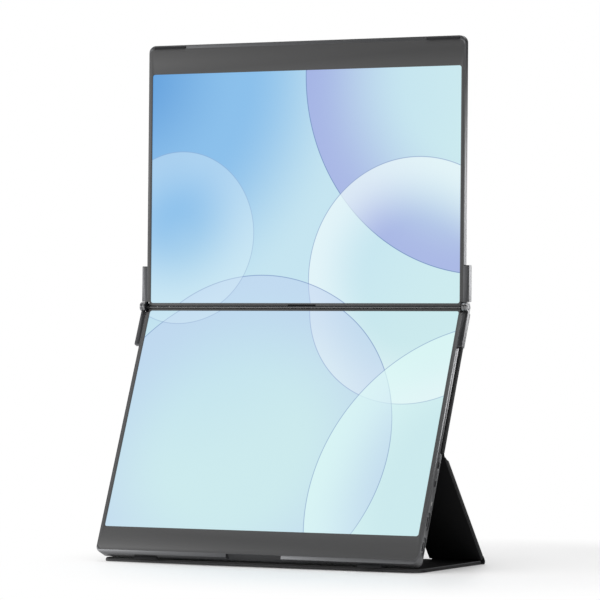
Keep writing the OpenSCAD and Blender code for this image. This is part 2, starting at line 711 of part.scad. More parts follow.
// The upper end is cut square to the display's back, clear of the crease bead
module apex_cut() {
  bar(-big, big) polygon([[-20, strut_in - 1], [0.3, strut_in - 1], [0.3, strut_in],
    [0.3 + strut_t * tan(fold_angle), strut_out], [0.3 + (strut_t + 2) * tan(fold_angle), strut_out + 2],
    [-20, strut_out + 2]]);
  translate([-big, 0, 0]) rotate([0, 90, 0]) cylinder(h = 2 * big, r = bead_r + air);
}
pocket_at = 0.3 + strut_t * tan(fold_angle) + hem;
module strut_skin() color([0.1, 0.1, 0.1]) place_strut() difference() {
  translate([0, 0, lining_top]) linear_extrude(strut_out - lining_top) strut_shape(0);
  translate([0, 0, lining_top - 1]) linear_extrude(strut_out - skin_t - lining_top + 1) intersection() {
    strut_shape(hem);
    translate([-big, pocket_at]) square(2 * big);
  }
  apex_cut();
}
module strut_board() color("tan") place_strut() translate([0, 0, lining_top])
  linear_extrude(strut_out - skin_t - gap - lining_top) intersection() {
    strut_shape(hem + gap);
    translate([-big, pocket_at + gap]) square(2 * big);
  }
module strut_lining() color([0.16, 0.16, 0.16]) place_strut() difference() {
  translate([0, 0, strut_in]) linear_extrude(lining_t) strut_shape(0.4);
  apex_cut();
}
// Leather at the rear crease, one strip on each leg
module rear_crease() color([0.08, 0.08, 0.08]) place_strut() both() {
  translate([opening_half, strut_reach, rear_off]) rotate([0, 90, 0])
    cylinder(h = cover_half - opening_half, r = fold_r);
  box([opening_half, strut_end, rear_off - fold_r + 0.7], [cover_half, strut_reach, rear_off + fold_r - 0.7]);
}

// ---------- base plate on the table ----------

module base_shape(inset) {
  y0 = rear_y - base_len + inset;
  y1 = rear_y - inset;
  w = 2 * (base_half - inset);
  r = base_corner;
  translate([-w / 2, hinge_y + y0 + r]) square([w, y1 - y0 - r]);
  translate([r - w / 2, hinge_y + y0]) square([w - 2 * r, r]);
  for (s = [-1, 1]) translate([s * (w / 2 - r), hinge_y + y0 + r]) circle(r);
}
// Room for the strut's end and the rear crease
module rear_room(grow) {
  place_rear() translate([-big, 0, 0]) rotate([0, 90, 0]) cylinder(h = 2 * big, r = fold_r + grow);
  place_strut() box([-big, strut_reach - 40, strut_in - grow], [big, strut_reach + 20, strut_out + 20]);
  place_rear() box([-big, -0.5, -20], [big, 20, 20]);
}
board_top = base_t - lining_t;
module base_skin() color([0.1, 0.1, 0.1]) difference() {
  linear_extrude(board_top) base_shape(0);
  translate([0, 0, skin_t]) linear_extrude(base_t) intersection() {
    base_shape(hem);
    translate([-big, -big]) square([2 * big, big + hinge_y + rear_y - pocket_end]);
  }
  rear_room(air);
}
module base_board() color("tan") difference() {
  translate([0, 0, skin_t + gap]) linear_extrude(board_top - skin_t - gap) intersection() {
    base_shape(hem + gap);
    translate([-big, -big]) square([2 * big, big + hinge_y + rear_y - pocket_end - gap]);
  }
  base_magnet_row(gap);
}
base_magnet_y = hinge_y + rear_y - base_len + magnet_in;
module base_magnet_row(grow) for (x = magnet_x)
  box([x - magnet[0] / 2 - grow, base_magnet_y - grow, board_top - base_magnet_t - grow],
    [x + magnet[0] / 2 + grow, base_magnet_y + magnet[1] + grow, board_top + grow]);
module base_lining() color([0.16, 0.16, 0.16]) difference() {
  translate([0, 0, board_top]) linear_extrude(lining_t) base_shape(0.4);
  rear_room(air);
}
module base_magnets() color("silver") base_magnet_row(0);

// ---------- what is drawn ----------

lower_frame();
lower_rear_cover();
lower_bezel();
lower_lcd();
lower_backlight();
lower_panel_flex();
main_board();
board_chips();
shield_can();
usb_port_a();
usb_port_b();
key_switches();
power_key();
menu_key();
status_light();
lower_feet();
lower_screws();
upper_frame();
upper_rear_cover();
upper_bezel();
upper_lcd();
upper_backlight();
upper_panel_flex();
driver_board();
upper_bumpers();
indicator_dots();
sensor_window();
upper_arm_left();
upper_arm_right();
lower_arm_left();
lower_arm_right();
hinge_pin_left();
hinge_pin_right();
friction_washer_left();
friction_washer_right();
hinge_collar_left();
hinge_collar_right();
upper_arm_screws();
lower_arm_screws();
link_cable_upper();
link_cable_lower();
cover_pad();
panel_skin();
panel_board();
panel_lining();
panel_magnets();
hump_flap();
apex_crease();
strut_skin();
strut_board();
strut_lining();
rear_crease();
base_skin();
base_board();
base_lining();
base_magnets();
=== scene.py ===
import json
import math
import bmesh
import bpy
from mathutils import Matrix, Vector


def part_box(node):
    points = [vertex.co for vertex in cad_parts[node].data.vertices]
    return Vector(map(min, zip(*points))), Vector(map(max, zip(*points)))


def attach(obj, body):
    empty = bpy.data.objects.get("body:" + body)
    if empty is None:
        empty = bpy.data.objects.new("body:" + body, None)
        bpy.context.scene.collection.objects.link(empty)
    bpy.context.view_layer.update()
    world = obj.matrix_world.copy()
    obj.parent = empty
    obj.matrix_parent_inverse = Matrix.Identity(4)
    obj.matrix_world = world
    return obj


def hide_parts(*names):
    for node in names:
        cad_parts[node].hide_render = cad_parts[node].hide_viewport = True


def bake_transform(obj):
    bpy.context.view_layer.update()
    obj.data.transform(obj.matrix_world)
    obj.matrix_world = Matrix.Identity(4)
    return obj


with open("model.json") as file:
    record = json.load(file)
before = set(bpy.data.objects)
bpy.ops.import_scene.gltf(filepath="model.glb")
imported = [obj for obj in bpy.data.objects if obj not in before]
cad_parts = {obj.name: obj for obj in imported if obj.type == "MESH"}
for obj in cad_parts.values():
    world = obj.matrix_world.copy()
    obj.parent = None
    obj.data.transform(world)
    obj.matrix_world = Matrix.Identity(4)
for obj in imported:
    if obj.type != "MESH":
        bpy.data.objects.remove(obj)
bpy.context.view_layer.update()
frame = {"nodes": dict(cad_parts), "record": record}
nodes = frame["nodes"]
bodyOfNode = {n: b for b, group in frame["record"]["behaviour"]["bodies"].items() for n in group}
slotOf = {s["node"]: s["material_slot"] for s in frame["record"]["subparts"]}
joints = {j["name"]: j for j in frame["record"]["behaviour"]["joints"]}
scene = bpy.context.scene
mm = 0.001

hingeAxis = Vector(joints["screen_fold"]["pos_m"])
lowerLean = math.radians(22.7)
upperLean = math.radians(1.1)
setback = {"upper": 0.5 * mm, "lower": 0.8 * mm}  # how far each face lies behind the hinge axis

cameraView = {
    "azimuth": math.radians(28.066),  # to the right of the screens' front
    "distance": 3.09696,
    "aimBehindAxis": 0.00048,
    "heightAboveAxis": 0.00908,
    "lens": 227.835,
    "sensor": 36,
    "shiftX": -0.0028,
    "shiftY": -0.0071,
    "farthest": 100,
}


def addCamera(look):
    data = bpy.data.cameras.new("camera")
    data.lens = look["lens"]
    data.sensor_width = look["sensor"]
    data.shift_x = look["shiftX"]
    data.shift_y = look["shiftY"]
    data.clip_end = look["farthest"]
    camera = bpy.data.objects.new("camera", data)
    camera.location = (
        math.sin(look["azimuth"]) * look["distance"],
        hingeAxis.y + look["aimBehindAxis"] - math.cos(look["azimuth"]) * look["distance"],
        hingeAxis.z + look["heightAboveAxis"],
    )
    camera.rotation_euler = (math.pi / 2, 0, look["azimuth"])  # level
    scene.collection.objects.link(camera)
    scene.camera = camera


addCamera(cameraView)
print("camera placed")


def feed(tree, value, socket):  # a number or a colour is set on the socket, an output is linked to it
    if isinstance(value, (int, float)):
        socket.default_value = value
    elif isinstance(value, tuple):
        socket.default_value = (*value, 1)
    else:
        tree.links.new(value, socket)


def fill(tree, node, values):
    for label, value in values.items():
        feed(tree, value, node.inputs[label])


def mathNode(tree, kind, *values, clamp=False):
    node = tree.nodes.new("ShaderNodeMath")
    node.operation = kind
    node.use_clamp = clamp
    for socket, value in zip(node.inputs, values):
        feed(tree, value, socket)
    return node.outputs[0]


def mixColours(tree, factor, a, b):
    node = tree.nodes.new("ShaderNodeMix")
    node.data_type = "RGBA"
    for i, value in ((0, factor), (6, a), (7, b)):  # the colour sockets of a Mix node are its 7th and 8th
        feed(tree, value, node.inputs[i])
    return node.outputs[2]


def softStep(tree, value, low, high):
    node = tree.nodes.new("ShaderNodeMapRange")
    node.interpolation_type = "SMOOTHSTEP"
    fill(tree, node, {"Value": value, "From Min": low, "From Max": high})
    return node.outputs[0]


def noiseNode(tree, vector, scale, detail):
    node = tree.nodes.new("ShaderNodeTexNoise")
    fill(tree, node, {"Vector": vector, "Scale": scale, "Detail": detail, "Roughness": 0.5})
    return node.outputs["Fac"]


def newGroup(name, inputs, outputs):
    group = bpy.data.node_groups.new(name, "ShaderNodeTree")
    for side, sockets in (("INPUT", inputs), ("OUTPUT", outputs)):
        for label, kind in sockets.items():
            group.interface.new_socket(name=label, in_out=side, socket_type="NodeSocket" + kind)
    return group, group.nodes.new("NodeGroupInput").outputs, group.nodes.new("NodeGroupOutput")


def useGroup(tree, group, values):
    node = tree.nodes.new("ShaderNodeGroup")
    node.node_tree = group
    fill(tree, node, values)
    return node.outputs


fineGrainLook = {"detail": 2, "cloudScale": 9, "cloudDetail": 4}


def buildFineGrain(look):  # fine speckle in roughness and height, with slow clouds in the colour
    group, start, end = newGroup(
        "fineGrain",
        {"Vector": "Vector", "Colour": "Color", "Scale": "Float", "Mottle": "Float",
         "Roughness": "Float", "Spread": "Float"},
        {"Colour": "Color", "Roughness": "Float", "Height": "Float"},
    )
    fine = noiseNode(group, start["Vector"], start["Scale"], look["detail"])
    cloud = noiseNode(group, start["Vector"], look["cloudScale"], look["cloudDetail"])
    swing = mathNode(group, "MULTIPLY", mathNode(group, "SUBTRACT", cloud, 0.5), start["Mottle"])
    shade = group.nodes.new("ShaderNodeVectorMath")
    shade.operation = "SCALE"
    group.links.new(start["Colour"], shade.inputs[0])
    group.links.new(mathNode(group, "ADD", swing, 1), shade.inputs["Scale"])
    wobble = mathNode(group, "MULTIPLY", mathNode(group, "SUBTRACT", fine, 0.5), start["Spread"])
    roughness = mathNode(group, "ADD", wobble, start["Roughness"], clamp=True)
    fill(group, end, {"Colour": shade.outputs[0], "Roughness": roughness, "Height": fine})
    return group


leatherGrainLook = {
    "pebbleEdge": 0.22,  # width of the valleys between the pebbles, as a share of a cell
    "waveScale": 0.35,
    "waveDetail": 4,
    "waveShare": 0.8,
}


def buildLeatherGrain(look):
    group, start, end = newGroup(
        "leatherGrain",
        {"Vector": "Vector", "Scale": "Float"},
        {"Height": "Float", "Valley": "Float"},
    )
    cells = group.nodes.new("ShaderNodeTexVoronoi")
    cells.feature = "DISTANCE_TO_EDGE"
    fill(group, cells, {"Vector": start["Vector"], "Scale": start["Scale"]})
    pebble = softStep(group, cells.outputs["Distance"], 0, look["pebbleEdge"])
    waveScale = mathNode(group, "MULTIPLY", start["Scale"], look["waveScale"])
    wave = noiseNode(group, start["Vector"], waveScale, look["waveDetail"])
    height = mathNode(group, "ADD", pebble, mathNode(group, "MULTIPLY", wave, look["waveShare"]))
    fill(group, end, {"Height": height, "Valley": mathNode(group, "SUBTRACT", 1, pebble)})
    return group


fineGrain = buildFineGrain(fineGrainLook)
leatherGrain = buildLeatherGrain(leatherGrainLook)


def newMaterial(name):
    material = bpy.data.materials.new(name)
    material.use_nodes = True
    tree = material.node_tree
    return material, tree, tree.nodes["Principled BSDF"]


def addRelief(tree, shader, height, strength, depth):
    relief = tree.nodes.new("ShaderNodeBump")
    fill(tree, relief, {"Strength": strength, "Distance": depth, "Height": height})
    tree.links.new(relief.outputs["Normal"], shader.inputs["Normal"])


def grainedMaterial(name, colour, roughness, scale, mottle, spread,
                    metallic=0, bump=0, depth=0.02 * mm, gloss=0.5):
    material, tree, shader = newMaterial(name)
    place = tree.nodes.new("ShaderNodeTexCoord")
    grain = useGroup(tree, fineGrain, {
        "Vector": place.outputs["Object"],
        "Colour": colour,
        "Scale": scale,
        "Mottle": mottle,
        "Roughness": roughness,
        "Spread": spread,
    })
    fill(tree, shader, {
        "Base Color": grain["Colour"],
        "Roughness": grain["Roughness"],
        "Metallic": metallic,
        "Specular IOR Level": gloss,
    })
    if bump:
        addRelief(tree, shader, grain["Height"], bump, depth)
    return material


machined = {"metallic": 0.9, "scale": 2600, "mottle": 0.06, "spread": 0.06}
bareMetal = {"metallic": 1, "scale": 3000, "mottle": 0.08, "spread": 0.1}
cloth = {"scale": 2400, "mottle": 0.15, "spread": 0.1, "bump": 0.3, "depth": 0.03 * mm}

grainedLooks = {
    "anodisedMetal": {**machined, "colour": (0.135, 0.137, 0.142), "roughness": 0.38, "bump": 0.1},
    "hingeMetal": {**machined, "colour": (0.09, 0.091, 0.095), "roughness": 0.32, "bump": 0.1},
    # painted shade: a darker, rougher copy of the frame metal for the faces at the seam by the hinge axis
    "seamShadeMetal": {**machined, "colour": (0.05, 0.05, 0.052), "roughness": 0.5, "bump": 0.1},
    # painted highlight: a brighter copy of the hinge metal for the barrels; its lower roughness is real
    "barrelHighlightMetal": {**machined, "colour": (0.2, 0.2, 0.205), "roughness": 0.24},
    "pinMetal": {**machined, "colour": (0.1, 0.101, 0.105), "roughness": 0.36},
    "keyMetal": {**machined, "colour": (0.03, 0.03, 0.032), "roughness": 0.4, "mottle": 0.05},
    "borderPlastic": {"colour": (0.067, 0.067, 0.068), "roughness": 0.42, "scale": 2200, "mottle": 0.06,
                      "spread": 0.06, "bump": 0.2},
    "casingPlastic": {"colour": (0.05, 0.051, 0.054), "roughness": 0.5, "scale": 2200, "mottle": 0.08,
                      "spread": 0.08, "bump": 0.4},
    "blackPlastic": {"colour": (0.005, 0.005, 0.006), "roughness": 0.5, "scale": 1800, "mottle": 0.1,
                     "spread": 0.08, "bump": 0.3, "gloss": 0.12},
    "darkRubber": {"colour": (0.022, 0.022, 0.024), "roughness": 0.7, "scale": 1800, "mottle": 0.12,
                   "spread": 0.1, "bump": 0.4, "gloss": 0.25},
    "lampLens": {"colour": (0.4, 0.4, 0.39), "roughness": 0.3, "scale": 2000, "mottle": 0.04,
                 "spread": 0.05},
    "screwSteel": {**bareMetal, "colour": (0.32, 0.32, 0.33), "roughness": 0.3},
    "springSteel": {**bareMetal, "colour": (0.5, 0.5, 0.51), "roughness": 0.28},
    "washerBrass": {**bareMetal, "colour": (0.6, 0.42, 0.17), "roughness": 0.3},
    "platedMagnet": {**bareMetal, "colour": (0.6, 0.6, 0.62), "roughness": 0.2, "scale": 2000,
                     "mottle": 0.06},
    "circuitGreen": {"colour": (0.015, 0.1, 0.045), "roughness": 0.35, "scale": 1500, "mottle": 0.2,
                     "spread": 0.1},
    "flexFilm": {"colour": (0.42, 0.17, 0.03), "roughness": 0.3, "scale": 900, "mottle": 0.15,
                 "spread": 0.1},
    "diffuserFilm": {"colour": (0.8, 0.81, 0.82), "roughness": 0.4, "scale": 900, "mottle": 0.04,
                     "spread": 0.1},
    "pressedBoard": {"colour": (0.33, 0.26, 0.18), "roughness": 0.8, "scale": 1300, "mottle": 0.25,
                     "spread": 0.1, "bump": 0.5},
    "liningCloth": {**cloth, "colour": (0.011, 0.011, 0.0115), "roughness": 0.9, "gloss": 0.05},
    # painted shade: a darker copy of the lining cloth for the base's top, which lies in shade
    "shadedLining": {**cloth, "colour": (0.004, 0.004, 0.0042), "roughness": 0.9, "gloss": 0.03},
    "flagCloth": {"colour": (0.004, 0.004, 0.004), "roughness": 0.95, "scale": 300, "mottle": 0.1,
                  "spread": 0.02},
}
lampGlow = {"Emission Color": (0.9, 0.9, 0.86), "Emission Strength": 0.06}

leatherRelief = {"strength": 0.5, "depth": 0.12 * mm}
frontLightTurn = {"from": -0.3, "full": -0.95}  # how far a face turns to the front before it gets the full painted front light
leatherLooks = {
    "blackLeather": {"colour": (0.024, 0.024, 0.025), "roughness": 0.58, "scale": 1500, "gloss": 0.12},
    # painted light: the base's leather is paler on its faces turned to the front, where the lamps light it
    "baseEdgeLeather": {"colour": (0.024, 0.024, 0.025), "roughness": 0.58, "scale": 1700, "gloss": 0.12,
                        "frontLightColour": (0.115, 0.115, 0.117), "valleyShadeDepth": 0.35},
    # painted highlight: a lighter copy of the black leather for the base lining's real turned edge, giving
    # its top edge a light line
    "turnedHighlightLeather": {"colour": (0.085, 0.085, 0.087), "roughness": 0.55, "scale": 1800, "gloss": 0.2,
                      "valleyShadeDepth": 0.35},
}


def leatherMaterial(name, colour, roughness, scale, gloss, frontLightColour=None, valleyShadeDepth=0.55):
    material, tree, shader = newMaterial(name)
    place = tree.nodes.new("ShaderNodeTexCoord")
    grain = useGroup(tree, leatherGrain, {"Vector": place.outputs["Object"], "Scale": scale})
    if frontLightColour:  # painted light: paler where the piece faces the user
        facing = tree.nodes.new("ShaderNodeSeparateXYZ")
        tree.links.new(place.outputs["Normal"], facing.inputs[0])
        frontLit = softStep(tree, facing.outputs["Y"], frontLightTurn["from"], frontLightTurn["full"])
        colour = mixColours(tree, frontLit, colour, frontLightColour)
    # painted shade: the grain's valleys are darkened towards black
    valleyShade = mathNode(tree, "MULTIPLY", grain["Valley"], valleyShadeDepth)
    fill(tree, shader, {
        "Base Color": mixColours(tree, valleyShade, colour, (0, 0, 0)),
        "Roughness": roughness,
        "Specular IOR Level": gloss,
    })
    addRelief(tree, shader, grain["Height"], leatherRelief["strength"], leatherRelief["depth"])
    return material


materials = {name: grainedMaterial(name, **look) for name, look in grainedLooks.items()}
materials.update({name: leatherMaterial(name, **look) for name, look in leatherLooks.items()})
lampTree = materials["lampLens"].node_tree
fill(lampTree, lampTree.nodes["Principled BSDF"], lampGlow)

finishOfSlot = {
    "anodised_metal": "anodisedMetal",
    "hinge_metal": "hingeMetal",
    "key_metal": "keyMetal",
    "casing": "casingPlastic",
    "border": "borderPlastic",
    "diffuser": "diffuserFilm",
    "flex_film": "flexFilm",
    "circuit_board": "circuitGreen",
    "chip": "blackPlastic",
    "spring_steel": "springSteel",
    "screw_steel": "screwSteel",
    "washer_brass": "washerBrass",
    "lamp": "lampLens",
    "dark_rubber": "darkRubber",
    "black_plastic": "blackPlastic",
    "black_leather": "blackLeather",
    "lining": "liningCloth",
    "cover_board": "pressedBoard",
    "magnet": "platedMagnet",
}
finishes = {slot: materials[finish] for slot, finish in finishOfSlot.items()}
for name, obj in nodes.items():
    if slotOf[name] in finishes:
        obj.data.materials.clear()
        obj.data.materials.append(finishes[slotOf[name]])
print("materials ready")


def onUpper(x, depth, along):  # right, back and up from the hinge on the upper display
    y = depth + setback["upper"]
    return Vector((x, hingeAxis.y + y * math.cos(upperLean) + along * math.sin(upperLean),
                   hingeAxis.z - y * math.sin(upperLean) + along * math.cos(upperLean)))


def onLower(x, depth, along):  # right, back and down from the hinge on the lower display
    y = depth + setback["lower"]
    return Vector((x, hingeAxis.y + y * math.cos(lowerLean) - along * math.sin(lowerLean),
                   hingeAxis.z - y * math.sin(lowerLean) - along * math.cos(lowerLean)))


boxFaces = ((0, 1, 2, 3), (7, 6, 5, 4), (0, 4, 5, 1), (1, 5, 6, 2), (2, 6, 7, 3), (3, 7, 4, 0))


def addMesh(name, mesh, material):
    obj = bpy.data.objects.new(name, mesh)
    scene.collection.objects.link(obj)
    mesh.materials.append(material)
    return obj


def addPiece(name, vertices, faces, material):
    mesh = bpy.data.meshes.new(name)
    mesh.from_pydata(vertices, [], faces)
    mesh.validate()
    return addMesh(name, mesh, material)


def shadeRound(mesh, angle):
    mesh.shade_smooth()
    mesh.set_sharp_from_angle(angle=angle)


def roundEdges(build, edges, radius, steps):
    bmesh.ops.bevel(build, geom=edges, offset=radius, offset_type="OFFSET", segments=steps,
                    profile=0.5, affect="EDGES", clamp_overlap=True)


edgeWork = {
    "weld": 0.003 * mm,
    "flat": math.radians(1),    # faces that turn by less are joined
    "sharp": math.radians(28),  # outer edges that turn by more are rounded
    "shade": math.radians(38),  # edges that turn by more stay hard in the shading
}

roundedPieces = {  # node, rounding in mm and its steps
    "upperFrame": ("upper_frame", 0.22, 2),
    "lowerFrame": ("lower_frame", 0.22, 2),
    "upperBack": ("upper_rear_cover", 0.15, 2),
    "lowerBack": ("lower_rear_cover", 0.3, 2),
    "upperBorder": ("upper_bezel", 0.1, 2),
    "lowerBorder": ("lower_bezel", 0.1, 2),
    "upperArmLeft": ("upper_arm_left", 0.35, 3),
    "upperArmRight": ("upper_arm_right", 0.35, 3),
    "lowerArmLeft": ("lower_arm_left", 0.35, 3),
    "lowerArmRight": ("lower_arm_right", 0.35, 3),
    "capLeft": ("hinge_collar_left", 0.2, 2),
    "capRight": ("hinge_collar_right", 0.2, 2),
    "pinLeft": ("hinge_pin_left", 0.15, 2),
    "pinRight": ("hinge_pin_right", 0.15, 2),
    "powerKey": ("power_key", 0.2, 3),
    "menuKey": ("menu_key", 0.2, 3),
    "wedgeFeet": ("lower_feet", 0.35, 3),
    "stopPads": ("upper_bumpers", 0.3, 3),
    "coverPad": ("cover_pad", 0.3, 2),
    "coverPanel": ("panel_skin", 0.7, 3),
    "coverPanelLining": ("panel_lining", 0.25, 2),
    "coverFlap": ("hump_flap", 0.45, 3),
    "standLeather": ("strut_skin", 0.7, 3),
    "standLining": ("strut_lining", 0.25, 2),
    "baseLeather": ("base_skin", 0.5, 3),
    "baseLining": ("base_lining", 0.25, 2),
}


def roundedCopy(name, node, radius, steps, look):
    build = bmesh.new()
    build.from_mesh(nodes[node].data)
    bmesh.ops.remove_doubles(build, verts=build.verts, dist=look["weld"])
    bmesh.ops.dissolve_limit(build, angle_limit=look["flat"], verts=build.verts, edges=build.edges)
    outer = [e for e in build.edges if e.is_manifold and e.is_convex]
    roundEdges(build, [e for e in outer if e.calc_face_angle(0) > look["sharp"]], radius * mm, steps)
    mesh = bpy.data.meshes.new(name)
    build.to_mesh(mesh)
    build.free()
    if "custom_normal" in mesh.attributes:  # it belongs to the unrounded mesh
        mesh.attributes.remove(mesh.attributes["custom_normal"])
    shadeRound(mesh, look["shade"])
    obj = addMesh(name, mesh, finishes[slotOf[node]])
    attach(obj, bodyOfNode[node])
    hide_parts(node)


for name, (node, radius, steps) in roundedPieces.items():
    roundedCopy(name, node, radius, steps, edgeWork)
print("edges rounded on", len(roundedPieces), "pieces")


paintReach = {
    "seam": 1.7 * mm,  # from the hinge axis
    "barrel": 3.78 * mm,
    "barrelEnd": 0.3,   # a barrel's end faces turn more than this towards x
    "turnedEdge": 0.5,  # lining faces that turn more than this from the sheet are its turned leather edge
}


def paintFaces(name, finish, chosen):  # another finish on the faces that chosen picks by middle and normal
    mesh = bpy.data.objects[name].data
    mesh.materials.append(materials[finish])
    for face in mesh.polygons:
        if chosen(face.center, face.normal):
            face.material_index = len(mesh.materials) - 1


def repaint(name, index, finish):
    bpy.data.objects[name].data.materials[index] = materials[finish]


def fromAxis(middle):
    return math.hypot(middle.y - hingeAxis.y, middle.z - hingeAxis.z)


def nearSeam(middle, normal):
    return fromAxis(middle) < paintReach["seam"]


def onBarrel(middle, normal):
    return fromAxis(middle) < paintReach["barrel"] and abs(normal.x) < paintReach["barrelEnd"]


def turnedFrom(sheet):
    return lambda middle, normal: abs(normal.dot(sheet)) < paintReach["turnedEdge"]


# painted shade on the frame faces next to the hinge seam
for name in ("upperFrame", "lowerFrame"):
    paintFaces(name, "seamShadeMetal", nearSeam)
# painted highlight: the barrels get a brighter, smoother copy of the hinge metal
for name in ("upperArmLeft", "upperArmRight", "lowerArmLeft", "lowerArmRight"):
    paintFaces(name, "barrelHighlightMetal", onBarrel)
for name in ("coverPanelLining", "standLining", "baseLining"):
    sheet = max(bpy.data.objects[name].data.polygons, key=lambda face: face.area).normal.copy()
    paintFaces(name, "blackLeather", turnedFrom(sheet))
repaint("pinLeft", 0, "pinMetal")
repaint("pinRight", 0, "pinMetal")
# painted light: the base's leather gets the paler front faces
repaint("baseLeather", 0, "baseEdgeLeather")
# painted shade: the base's top gets the darker lining
repaint("baseLining", 0, "shadedLining")
# painted highlight: the base lining's turned edge gets the lighter leather
repaint("baseLining", 1, "turnedHighlightLeather")
print("seams and turned edges painted")


hingeShelf = {  # a web that closes each lower arm behind the barrels
    "inner": 146.3 * mm,
    "outer": 148.9 * mm,
    "front": 3.35 * mm,
    "back": 4.55 * mm,
    "near": 0.35 * mm,
    "far": 4.9 * mm,
    "rounding": 0.2 * mm,
    "steps": 2,
}


def addShelf(name, side, look):
    mesh = bpy.data.objects[name].data
    build = bmesh.new()
    build.from_mesh(mesh)
    outline = ((look["inner"], look["front"]), (look["outer"], look["front"]),
               (look["outer"], look["back"]), (look["inner"], look["back"]))
    corners = [build.verts.new(onLower(side * x, depth, along))
               for along in (look["near"], look["far"]) for x, depth in outline]
    faces = [build.faces.new([corners[i] for i in ring]) for ring in boxFaces]
    bmesh.ops.recalc_face_normals(build, faces=faces)
    edges = list({edge for face in faces for edge in face.edges})
    roundEdges(build, edges, look["rounding"], look["steps"])
    build.to_mesh(mesh)
    build.free()
    shadeRound(mesh, edgeWork["shade"])


addShelf("lowerArmLeft", -1, hingeShelf)
addShelf("lowerArmRight", 1, hingeShelf)
print("hinge shelves closed")


creases = {
    "thick": 0.8 * mm,
    "ripple": 0.12 * mm,
    "waves": ((0.023, 0.6, 0.0), (0.0091, 0.4, 1.3)),  # length along x, share, phase
    "column": 1.6 * mm,
    "shade": math.radians(50),
    "legWidth": 47.4 * mm,
    "strutInner": -0.5 * mm,  # the strut's faces, measured from its hinge line
    "strutOuter": 3.9 * mm,
    "foldRadius": 2.2 * mm,
    "foldSteps": 14,
    "valley": ((-1.0, 1.8), (-0.8, 1.2), (-0.6, 0.85), (-0.35, 0.5), (-0.1, 0.15), (0.25, -0.15),
               (0.8, -0.36), (1.6, -0.46), (2.8, -0.5), (3.8, -0.58), (4.4, -0.9)),  # mm back, mm up
    "ontoStrut": ((4.4, 0.5), (3.6, 0.1), (2.4, 0), (1.2, 0)),  # mm before the strut's end, mm into it
    "ontoBase": ((1.2, 0.01), (2.2, 0.05), (3.2, 0.4)),  # mm in front of the fold, mm above the table
}


def creaseSkin(name, profile, x0, x1, look):  # a sheet of leather along x; the profile is its outer line
    last = len(profile) - 1
    normals = []
    for i in range(last + 1):
        along = (profile[min(i + 1, last)] - profile[max(i - 1, 0)]).normalized()
        normals.append(Vector((-along.y, along.x)))
    columns = round((x1 - x0) / look["column"])
    points, faces = [], []
    for c in range(columns + 1):
        x = x0 + (x1 - x0) * c / columns
        wave = sum(share * math.sin(x * 2 * math.pi / length + phase)
                   for length, share, phase in look["waves"])
        push = [wave * look["ripple"] * math.sin(math.pi * i / last) for i in range(last + 1)]
        outer = [profile[i] + normals[i] * push[i] for i in range(last + 1)]
        inner = [outer[i] - normals[i] * look["thick"] for i in range(last, -1, -1)]
        points += [(x, point.x, point.y) for point in outer + inner]
    ring = 2 * len(profile)
    for c in range(columns):
        for i in range(ring):
            j = (i + 1) % ring
            faces.append((c * ring + i, c * ring + j, (c + 1) * ring + j, (c + 1) * ring + i))
    faces.append(tuple(reversed(range(ring))))
    faces.append(tuple(columns * ring + i for i in range(ring)))
    obj = addPiece(name, points, faces, materials["blackLeather"])
    build = bmesh.new()
    build.from_mesh(obj.data)
    bmesh.ops.recalc_face_normals(build, faces=build.faces)
    build.to_mesh(obj.data)
    build.free()
    shadeRound(obj.data, look["shade"])
    return obj


def addCreases(look):
    apex = Vector(joints["strut_fold"]["pos_m"])
    rear = Vector(joints["base_fold"]["pos_m"])
    reach = rear - apex
    rise = math.asin((look["foldRadius"] + look["strutInner"]) / reach.length)
    tilt = math.atan2(reach.z, reach.y) - rise
    strutLength = reach.length * math.cos(rise)
    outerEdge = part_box("strut_skin")[1][0]

    def offBack(back, up):  # from the crease, out from the display's back and up along it
        return Vector((apex.y + (back * math.cos(lowerLean) + up * math.sin(lowerLean)) * mm,
                       apex.z + (up * math.cos(lowerLean) - back * math.sin(lowerLean)) * mm))

    def onStrut(along, out):
        return Vector((apex.y + along * math.cos(tilt) - out * math.sin(tilt),
                       apex.z + along * math.sin(tilt) + out * math.cos(tilt)))

    valley = [offBack(*point) for point in look["valley"]]
    skin = creaseSkin("apexFold", valley, -outerEdge, outerEdge, look)
    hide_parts("apex_crease")
    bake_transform(skin)

    turn = [onStrut(strutLength - back * mm, look["strutOuter"] - drop * mm)
            for back, drop in look["ontoStrut"]]
    for i in range(look["foldSteps"] + 1):
        angle = tilt + math.pi / 2 + (-math.pi - tilt) * i / look["foldSteps"]
        turn.append(Vector((rear.y + look["foldRadius"] * math.cos(angle),
                            rear.z + look["foldRadius"] * math.sin(angle))))
    turn += [Vector((rear.y - back * mm, lift * mm)) for back, lift in look["ontoBase"]]
    for name, x0, x1 in (("rearFoldRight", outerEdge - look["legWidth"], outerEdge),
                         ("rearFoldLeft", -outerEdge, look["legWidth"] - outerEdge)):
        skin = creaseSkin(name, turn, x0, x1, look)
        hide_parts("rear_crease")
        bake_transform(skin)


addCreases(creases)
print("creases folded")


screen = {
    "width": 285.3 * mm,
    "height": 190.2 * mm,
    "hingeBorder": 3.1 * mm,
    "margin": 0.5 * mm,
    "front": 0.65 * mm,
    "back": 1.85 * mm,
    "unlit": (0.01, 0.01, 0.012),
    "glow": 0.95,
    "roughness": 0.3,
    "gloss": 0.25,
}

